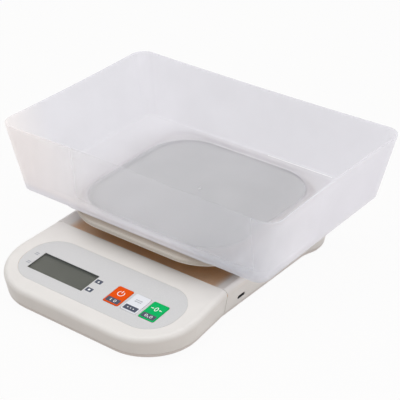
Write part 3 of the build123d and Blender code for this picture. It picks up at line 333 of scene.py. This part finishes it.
def housing_plastic(name, colour, shade):
    """Warm off-white plastic with painted brown shade on the deck, where little light gets in
    under the platform.
    """
    surface = plastic(name, colour, 0.38, shine=0.35)
    off_deck = surface.larger(surface.height(deck_z, DECK_SHADE_TOP),
                              surface.height(deck_z, DECK_SHADE_FOOT))
    plain = surface.larger(off_deck, surface.openness(DECK_SHADE_REACH, DECK_SHADE_OPENNESS))
    # Painted brown shade where the deck is crowded, plain colour elsewhere
    surface.colour(surface.mix(plain, surface.mottle(linear(*shade), 0.08, 60),
                               surface.mottle(linear(*colour), 0.02, 45)))
    return surface


def platform_plastic(name, colour, shade):
    """Off-white plastic with painted taupe shade under the tray, down to a plain lower edge."""
    surface = plastic(name, colour, 0.40)
    edges = surface.larger(surface.height(platform_high.z, BEVEL_SHADE_TOP),
                           surface.height(platform_low.z, SKIRT_SHADE_FOOT))
    plain = surface.larger(edges, surface.openness(SKIRT_SHADE_REACH, SKIRT_SHADE_OPENNESS))
    # Painted taupe shade where the tray crowds the bevel and skirt
    surface.colour(surface.mix(plain, surface.mottle(linear(*shade), 0.05, 40),
                               surface.mottle(linear(*colour), 0.02, 55)))
    return surface


def circuit_board(name):
    """Green solder mask with paler tracks and scattered via dots."""
    surface = Surface(name)
    mask = surface.mottle(linear(22, 92, 52), 0.12, 90)
    tracks = surface.node("ShaderNodeTexBrick", offset=0.5)
    tracks.inputs["Scale"].default_value = 160
    tracks.inputs["Mortar Size"].default_value = 0.035
    tracks.inputs["Color1"].default_value = (0, 0, 0, 1)
    tracks.inputs["Color2"].default_value = (0, 0, 0, 1)
    tracks.inputs["Mortar"].default_value = (1, 1, 1, 1)
    surface.link(surface.place, tracks.inputs["Vector"])
    printed = surface.mix(tracks.outputs["Color"], mask, linear(44, 126, 76))
    dots = surface.node("ShaderNodeTexVoronoi")
    dots.inputs["Scale"].default_value = 260
    surface.link(surface.place, dots.inputs["Vector"])
    near = surface.span(dots.outputs["Distance"], 1, 0, 0.10, 0.14)
    surface.colour(surface.mix(near, printed, linear(196, 186, 150)))
    surface.roughness(0.38, 0.06, 300)
    surface.bump(tracks.outputs["Fac"], 0.00003, 0.5)
    return surface


def tray_colour_and_light(surface, painted_highlight):
    """Tray's colour: warmer painted light at the front wall's left end, darker painted shade
    right, white painted highlight on an edge.
    """
    low, high = tray_low.y - PAINTED_LIGHT_REACH, tray_low.y + PAINTED_LIGHT_REACH
    # Painted light on the front wall's left end and painted shade on its front right corner
    left = surface.zone((tray_low.x - PAINTED_LIGHT_REACH, low), (tray_middle.x + LEFT_LIGHT_END, high),
                        PAINTED_LIGHT_REACH, PAINTED_LIGHT_FEATHER)
    left = surface.product(left, surface.height(tray_floor_z, LEFT_LIGHT_FOOT))
    right = surface.zone((tray_middle.x + RIGHT_SHADE_START, low),
                         (tray_high.x + RIGHT_SHADE_OVERHANG, high), PAINTED_LIGHT_REACH, PAINTED_LIGHT_FEATHER)
    colour_and_light = surface.mottle(linear(*TRAY_COLOUR), 0.018, 30)
    colour_and_light = surface.mix(left, colour_and_light, linear(*TRAY_LIT_LEFT_COLOUR))
    colour_and_light = surface.mix(right, colour_and_light, linear(*TRAY_SHADED_RIGHT_COLOUR))
    return surface.mix(painted_highlight, colour_and_light, (1, 1, 1, 1))


def tray_alpha(surface, painted_highlight):
    """Tray's cover: clearer over the pad and in the front wall, nearly full on its gate mark and
    its painted highlight.
    """
    over_pad = surface.zone(pad_low + PAD_SEEN_SHIFT, pad_high + PAD_SEEN_SHIFT,
                            PAD_CORNER, PAD_FEATHER)
    left, right = (tray_middle.x + x for x in CLEAR_WALL_ENDS)
    before, behind = CLEAR_WALL_REACH
    in_wall = surface.zone((left, tray_low.y - before), (right, tray_low.y + behind),
                           CLEAR_WALL_CORNER, CLEAR_WALL_FEATHER)
    in_wall = surface.product(in_wall, surface.height(tray_floor_z, CLEAR_WALL_FOOT))
    milky = surface.product(surface.span(over_pad, TRAY_ALPHA, TRAY_CLEAR_ALPHA, 0, 1),
                            surface.span(in_wall, 1, TRAY_WALL_SHARE, 0, 1))
    gate = surface.zone(tray_middle, tray_middle, *GATE_MARK)
    # The gate mark, and the painted highlight along the floor's rear edge
    marks = surface.span(surface.larger(gate, painted_highlight), 0, MARK_ALPHA, 0, 1)
    return surface.larger(milky, marks)


def tray_plastic(name):
    """Frosted translucent plastic that also glows with the light from its far side."""
    surface = Surface(name)
    # Painted highlight: a white stretch along the floor's rear inner edge
    painted_highlight = surface.zone(*(tray_middle + Vector((x, y, 0)) for x, y in PAINTED_HIGHLIGHT_EDGE),
                        *PAINTED_HIGHLIGHT_CORNER)
    painted_highlight = surface.product(painted_highlight, surface.height(tray_floor_z, PAINTED_HIGHLIGHT_TOP))
    colour_and_light = tray_colour_and_light(surface, painted_highlight)
    alpha = tray_alpha(surface, painted_highlight)
    surface.colour(colour_and_light)
    surface.roughness(0.34, 0.05, 120)
    surface.bump(surface.noise(1900, 3), 0.00002, 0.25)
    surface.shader.inputs["Specular IOR Level"].default_value = 0.35
    surface.link(alpha, surface.shader.inputs["Alpha"])
    glow = surface.node("ShaderNodeBsdfTranslucent")
    surface.link(colour_and_light, glow.inputs["Color"])
    clear = surface.node("ShaderNodeBsdfTransparent")
    veil = surface.blend(clear.outputs["BSDF"], glow.outputs["BSDF"])
    surface.link(alpha, veil.inputs["Fac"])
    mixed = surface.blend(surface.shader.outputs["BSDF"], veil.outputs["Shader"])
    mixed.inputs["Fac"].default_value = TRAY_GLOW
    surface.finish(mixed)
    return surface


def printed_film(name, colour, shine=0.25):
    """Matt printed panel film with a very fine speckle."""
    surface = plastic(name, colour, 0.50, 5200, 0.00002, 0.015, shine)
    speckle = surface.span(surface.noise(4200, 2), 0, 1, 0.44, 0.62)
    surface.colour(surface.mix(speckle, linear(*colour),
                               linear(*(min(255, c + 9) for c in colour))))
    return surface


def display_glass(name, upper_edge):
    """Grey display with a darker painted shadow band along its upper edge and faint cell texture.
    """
    surface = Surface(name)
    base = surface.mottle(linear(98, 100, 90), 0.05, 70)
    split = surface.node("ShaderNodeSeparateXYZ")
    surface.link(surface.place, split.inputs["Vector"])
    # Painted shadow of the window's recess along the display's upper edge
    shadow_band = surface.span(split.outputs["Y"], 0, 1, *(upper_edge - y for y in DISPLAY_SHADOW_BAND))
    surface.colour(surface.mix(shadow_band, base, linear(52, 54, 50)))
    surface.roughness(0.32, 0.04, 200)
    surface.bump(surface.noise(2600, 2), 0.00001, 0.2)
    return surface


def clear_window(name):
    """Clear hard plastic with faint polishing haze."""
    surface = Surface(name)
    surface.colour(surface.mottle(linear(120, 122, 118), 0.03, 80))
    surface.roughness(0.12, 0.04, 350)
    surface.bump(surface.noise(1500, 2), 0.00001, 0.1)
    surface.shader.inputs["Alpha"].default_value = 0.16
    return surface


def battery_wrap(name):
    """Shrink wrap with soft wrinkles."""
    surface = Surface(name)
    surface.colour(surface.mottle(linear(34, 96, 168), 0.08, 60))
    surface.roughness(0.28, 0.06, 140)
    surface.bump(surface.noise(190, 4, (1, 3, 1), 0.6), 0.0002, 0.35)
    return surface


def foam(name):
    """Open-celled foam tape."""
    surface = rubber(name, (44, 44, 46), 0.9)
    cells = surface.node("ShaderNodeTexVoronoi")
    cells.inputs["Scale"].default_value = 1300
    surface.link(surface.place, cells.inputs["Vector"])
    surface.bump(cells.outputs["Distance"], 0.0002, 0.6)
    return surface


display_upper_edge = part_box("lcd_glass")[1].y
platform_low, platform_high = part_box("platform_plate")
pad_low, pad_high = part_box("platform_pad")
deck_z = platform_high.z - PLATFORM_ABOVE_DECK
tray_low, tray_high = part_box("weighing_tray")
tray_middle = (tray_low + tray_high) / 2
tray_floor_z = platform_high.z + TRAY_FLOOR_ABOVE_PAD
surfaces = {
    "housing": housing_plastic("housing_plastic", (233, 229, 225), (226, 170, 112)),
    "lower_case": plastic("lower_case_plastic", (222, 214, 209), 0.42),
    "tray": tray_plastic("tray_plastic"),
    "platform": platform_plastic("platform_plastic", (232, 228, 221), (174, 160, 145)),
    "grey_pad": plastic("grey_pad", (187, 187, 185), 0.55, 1500, 0.00006),
    "support": plastic("support_plastic", (176, 128, 86), 0.50),
    "film": printed_film("panel_film", (209, 208, 208)),
    "orange_key": printed_film("orange_print", (228, 78, 0), 0.08),
    "white_key": printed_film("white_print", (228, 229, 234)),
    "green_key": printed_film("green_print", (0, 178, 94), 0.08),
    "window": clear_window("display_window_clear"),
    "lcd": display_glass("display_grey", display_upper_edge),
    "spreader": plastic("spreader_milky", (238, 240, 242), 0.25),
    "frame_black": plastic("frame_black", (30, 30, 32), 0.5),
    "contact_rubber": rubber("contact_rubber", (150, 78, 88)),
    "foot_rubber": rubber("foot_rubber", (58, 58, 60)),
    "board": circuit_board("solder_mask"),
    "component": plastic("component_black", (26, 26, 28), 0.45, 4200),
    "connector": plastic("connector_ivory", (228, 222, 202), 0.42),
    "can": metal("can_aluminium", (196, 197, 201), 0.28),
    "beam": metal("beam_aluminium", (199, 201, 203), 0.32, (14, 1, 1), 500),
    "steel": metal("zinc_plated_steel", (178, 179, 182), 0.30, (1, 1, 10), 900),
    "socket_metal": metal("nickel_plating", (170, 170, 173), 0.25, (8, 1, 1), 900),
    "sealant": rubber("white_sealant", (232, 231, 226), 0.5),
    "battery_wrap": battery_wrap("battery_wrap"),
    "foam": foam("foam_tape"),
    "grey_cable": rubber("grey_cable", (138, 140, 144), 0.5),
    "red_wire": rubber("red_wire", (184, 24, 20), 0.45),
    "black_wire": rubber("black_wire", (28, 28, 28), 0.45),
}
slate_print = printed_film("slate_print", (76, 81, 97))
white_print = printed_film("white_symbol_print", (245, 245, 245))
grey_print = printed_film("grey_symbol_print", (168, 169, 176))

for row in frame["record"]["subparts"]:
    mesh = nodes[row["node"]].data
    mesh.materials.clear()
    mesh.materials.append(surfaces[row["material_slot"]].material)

# Print on the panel

film_low, film_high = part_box("control_overlay")
panel_x = (film_low.x + film_high.x) / 2
panel_y = (film_low.y + film_high.y) / 2
panel_z = film_high.z - tan(PANEL_TILT) * (film_high.y - panel_y)
panel = Matrix.Translation((panel_x, panel_y, panel_z)) @ Matrix.Rotation(PANEL_TILT, 4, "X")


def rounded_outline(width, height, corner, steps=5):
    """Points round a rectangle with rounded corners, anticlockwise."""
    points = []
    for turn, (side_x, side_y) in enumerate(((1, 1), (-1, 1), (-1, -1), (1, -1))):
        for step in range(steps + 1):
            angle = pi / 2 * (turn + step / steps)
            points.append((side_x * (width / 2 - corner) + corner * cos(angle),
                           side_y * (height / 2 - corner) + corner * sin(angle)))
    return points


def arc_band(radius_x, radius_y, stroke, start, end, steps=28):
    """Outline of a band that follows an ellipse between two angles in degrees."""
    outer, inner = [], []
    for step in range(steps + 1):
        angle = radians(start + (end - start) * step / steps)
        outer.append((radius_x * cos(angle), radius_y * sin(angle)))
        inner.append(((radius_x - stroke) * cos(angle), (radius_y - stroke) * sin(angle)))
    return outer, inner


def add_plate(mesh, outline, low, high):
    """Add a flat plate with the given outline between two heights."""
    bottom = [mesh.verts.new((x, y, low)) for x, y in outline]
    top = [mesh.verts.new((x, y, high)) for x, y in outline]
    mesh.faces.new(reversed(bottom))
    mesh.faces.new(top)
    for i in range(len(outline)):
        j = (i + 1) % len(outline)
        mesh.faces.new((bottom[i], bottom[j], top[j], top[i]))


def add_band(mesh, outer, inner, low, high, closed):
    """Add a flat band between two outlines of the same length."""
    rings = [[mesh.verts.new((x, y, z)) for x, y in line]
             for line in (outer, inner) for z in (low, high)]
    outer_low, outer_high, inner_low, inner_high = rings
    count = len(outer)
    for i in range(count if closed else count - 1):
        j = (i + 1) % count
        mesh.faces.new((outer_low[i], outer_low[j], outer_high[j], outer_high[i]))
        mesh.faces.new((inner_high[i], inner_high[j], inner_low[j], inner_low[i]))
        mesh.faces.new((outer_high[i], outer_high[j], inner_high[j], inner_high[i]))
        mesh.faces.new((inner_low[i], inner_low[j], outer_low[j], outer_low[i]))
    if not closed:
        for i in (0, count - 1):
            mesh.faces.new((outer_low[i], outer_high[i], inner_high[i], inner_low[i]))


def moved(outline, x, y):
    """The same outline at another place."""
    return [(px + x, py + y) for px, py in outline]


def print_piece(name, surface, body, x, y, base, plates=(), bands=()):
    """Thin printed layer at a place on the panel, riding on a body."""
    mesh = bmesh.new()
    low, high = base - PRINT_SINK, base + PRINT_THICK
    for outline in plates:
        add_plate(mesh, outline, low, high)
    for outer, inner, closed in bands:
        add_band(mesh, outer, inner, low, high, closed)
    bmesh.ops.recalc_face_normals(mesh, faces=mesh.faces)
    data = bpy.data.meshes.new(name)
    mesh.transform(panel @ Matrix.Translation((x, y, 0)))
    mesh.to_mesh(data)
    mesh.free()
    piece = bpy.data.objects.new(name, data)
    bpy.context.scene.collection.objects.link(piece)
    data.materials.append(surface.material)
    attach(piece, body)


def key_middle(node):
    """Middle of a key in the panel's own frame."""
    low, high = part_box(node)
    return ((low.x + high.x) / 2 - panel_x,
            ((low.y + high.y) / 2 - panel_y) / cos(PANEL_TILT))


def arrow(length, head, direction):
    """Outline of an arrow along X, pointing right for 1 and left for -1."""
    half = STROKE / 2
    points = [(-length / 2, -half), (length / 2 - head, -half), (length / 2 - head, -head * 0.8),
              (length / 2, 0), (length / 2 - head, head * 0.8), (length / 2 - head, half),
              (-length / 2, half)]
    if direction > 0:
        return points
    return [(-x, y) for x, y in reversed(points)]


caption_y = -KEY_LENGTH / 2 + CAPTION_EDGE + CAPTION_HEIGHT / 2
caption = rounded_outline(CAPTION_WIDTH, CAPTION_HEIGHT, CAPTION_CORNER)
stroke = rounded_outline(STROKE, BAR_STROKE_LENGTH, STROKE * STROKE_CORNER)
dot = rounded_outline(*DOT)
nought = arc_band(*NOUGHT, 0, 360, 24)
caption_marks = {
    "power": ([moved(stroke, BAR_STROKE_X, 0)], [BAR_RING_X]),
    "unit": ([moved(dot, x, 0) for x in (-DOT_PITCH, 0, DOT_PITCH)], []),
    "zero": ([moved(dot, 0, NOUGHT_DOT_Y)], [-NOUGHT_OFFSET, NOUGHT_OFFSET]),
}
for key, (plates, noughts) in caption_marks.items():
    x, y = key_middle(key + "_key")
    y += caption_y
    print_piece(key + "_caption_bar", slate_print, key + "_button",
                x, y, KEY_PROUD, [caption])
    print_piece(key + "_caption_marks", white_print, key + "_button",
                x, y, KEY_PROUD + PRINT_THICK, plates,
                [(moved(nought[0][:-1], shift, 0), moved(nought[1][:-1], shift, 0), True)
                 for shift in noughts])

# Power symbol: an open ring with an upright stroke
x, y = key_middle("power_key")
outer, inner = arc_band(POWER_RING, POWER_RING, STROKE, *POWER_RING_SPAN)
upright = rounded_outline(STROKE, POWER_RING, STROKE * STROKE_CORNER)
print_piece("power_symbol", white_print, "power_button", x, y + SYMBOL_RISE,
            KEY_PROUD, [moved(upright, 0, POWER_STROKE_RISE)], [(outer, inner, False)])

# Zero symbol: a nought between two arrows that point at it
x, y = key_middle("zero_key")
outer, inner = arc_band(*ZERO_RADII, STROKE, 0, 360, 32)
print_piece("zero_symbol", white_print, "zero_button", x, y + SYMBOL_RISE,
            KEY_PROUD,
            [moved(arrow(*ZERO_ARROW, side), -side * ZERO_ARROW_OFFSET, 0) for side in (1, -1)],
            [(outer[:-1], inner[:-1], True)])

# Unit symbol: two arrows that run opposite ways
x, y = key_middle("unit_key")
print_piece("unit_symbol", grey_print, "unit_button", x, y + SYMBOL_RISE, KEY_PROUD,
            [moved(arrow(*UNIT_ARROW, side), 0, side * UNIT_ARROW_OFFSET) for side in (1, -1)])

# Marks beside the display
mark = rounded_outline(*MARK_BOX)
square = rounded_outline(*MARK_SQUARE)
for name, y, sign in (("upper", UPPER_MARK_Y, MARK_TRIANGLE), ("lower", LOWER_MARK_Y, square)):
    print_piece(name + "_mark_box", slate_print, "base", MARK_X, y, 0, [mark])
    print_piece(name + "_mark_sign", white_print, "base", MARK_X, y, PRINT_THICK,
                [sign])
tick = rounded_outline(*TICK)
for name, x, y in TICK_PLACES:
    print_piece(name + "_side_mark", grey_print, "base", x, y, 0,
                [moved(tick, 0, TICK_OFFSET), moved(tick, 0, -TICK_OFFSET)])

# Floor, light and camera


def floor_material():
    """Pale floor whose shadows stay, seen nearly white by the camera."""
    surface = Surface("floor_pale")
    surface.colour(surface.mottle(FLOOR_COLOUR + (1,), 0.01, 3))
    surface.roughness(0.8, 0.05, 20)
    white = surface.node("ShaderNodeEmission")
    white.inputs["Strength"].default_value = 1.0
    paths = surface.node("ShaderNodeLightPath")
    seen = surface.larger(paths.outputs["Is Camera Ray"], paths.outputs["Is Transmission Ray"])
    seen = surface.larger(seen, paths.outputs["Is Glossy Ray"])
    share = surface.node("ShaderNodeMath", operation="MULTIPLY")
    surface.link(seen, share.inputs[0])
    share.inputs[1].default_value = FLOOR_WHITE
    mixed = surface.blend(surface.shader.outputs["BSDF"], white.outputs["Emission"])
    surface.link(share.outputs["Value"], mixed.inputs["Fac"])
    surface.finish(mixed)
    return surface.material


mesh = bmesh.new()
bmesh.ops.create_circle(mesh, cap_ends=True, segments=96, radius=FLOOR_RADIUS)
floor_data = bpy.data.meshes.new("floor")
mesh.to_mesh(floor_data)
mesh.free()
floor = bpy.data.objects.new("floor", floor_data)
bpy.context.scene.collection.objects.link(floor)
floor_data.materials.append(floor_material())

world = bpy.data.worlds.new("studio")
world.use_nodes = True
bpy.context.scene.world = world
tree = world.node_tree
soft = tree.nodes["Background"]
soft.inputs["Color"].default_value = WORLD_TINT + (1,)
soft.inputs["Strength"].default_value = WORLD_LIGHT
plain = tree.nodes.new("ShaderNodeBackground")
plain.inputs["Color"].default_value = (1, 1, 1, 1)
paths = tree.nodes.new("ShaderNodeLightPath")
seen = tree.nodes.new("ShaderNodeMath")
seen.operation = "MAXIMUM"
tree.links.new(paths.outputs["Is Camera Ray"], seen.inputs[0])
tree.links.new(paths.outputs["Is Transmission Ray"], seen.inputs[1])
mixed = tree.nodes.new("ShaderNodeMixShader")
tree.links.new(seen.outputs["Value"], mixed.inputs["Fac"])
tree.links.new(soft.outputs["Background"], mixed.inputs[1])
tree.links.new(plain.outputs["Background"], mixed.inputs[2])
tree.links.new(mixed.outputs["Shader"], tree.nodes["World Output"].inputs["Surface"])


def softbox(name, place, size, power):
    """Square area light aimed at the part."""
    data = bpy.data.lights.new(name, "AREA")
    data.size = size
    data.energy = power
    light = bpy.data.objects.new(name, data)
    light.location = place
    light.rotation_mode = "QUATERNION"
    light.rotation_quaternion = (Vector(LAMP_AIM) - Vector(place)).to_track_quat("-Z", "Y")
    bpy.context.scene.collection.objects.link(light)


for lamp in LAMPS:
    softbox(*lamp)


def make_camera():
    """Camera at the photograph's angle, worked out from the platform's place."""
    low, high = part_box("platform_plate")
    aim = Vector(((low.x + high.x) / 2, (low.y + high.y) / 2, high.z - AIM_BELOW_PLATFORM))
    back = Vector((sin(CAMERA_AZIMUTH) * cos(CAMERA_ELEVATION),
                   -cos(CAMERA_AZIMUTH) * cos(CAMERA_ELEVATION), sin(CAMERA_ELEVATION)))
    level_right = back.cross(Vector((0, 0, -1))).normalized()
    level_up = back.cross(level_right)
    right = level_right * cos(CAMERA_ROLL) + level_up * sin(CAMERA_ROLL)
    up = level_up * cos(CAMERA_ROLL) - level_right * sin(CAMERA_ROLL)
    place = aim - right * AIM_RIGHT - up * AIM_UP + back * AIM_AWAY
    data = bpy.data.cameras.new("camera")
    data.sensor_width = CAMERA_SENSOR
    data.lens = CAMERA_LENS
    camera = bpy.data.objects.new("camera", data)
    camera.matrix_world = Matrix((
        (right.x, up.x, back.x, place.x),
        (right.y, up.y, back.y, place.y),
        (right.z, up.z, back.z, place.z),
        (0, 0, 0, 1),
    ))
    bpy.context.scene.collection.objects.link(camera)
    bpy.context.scene.camera = camera


make_camera()
bpy.context.scene.view_settings.view_transform = "Standard"
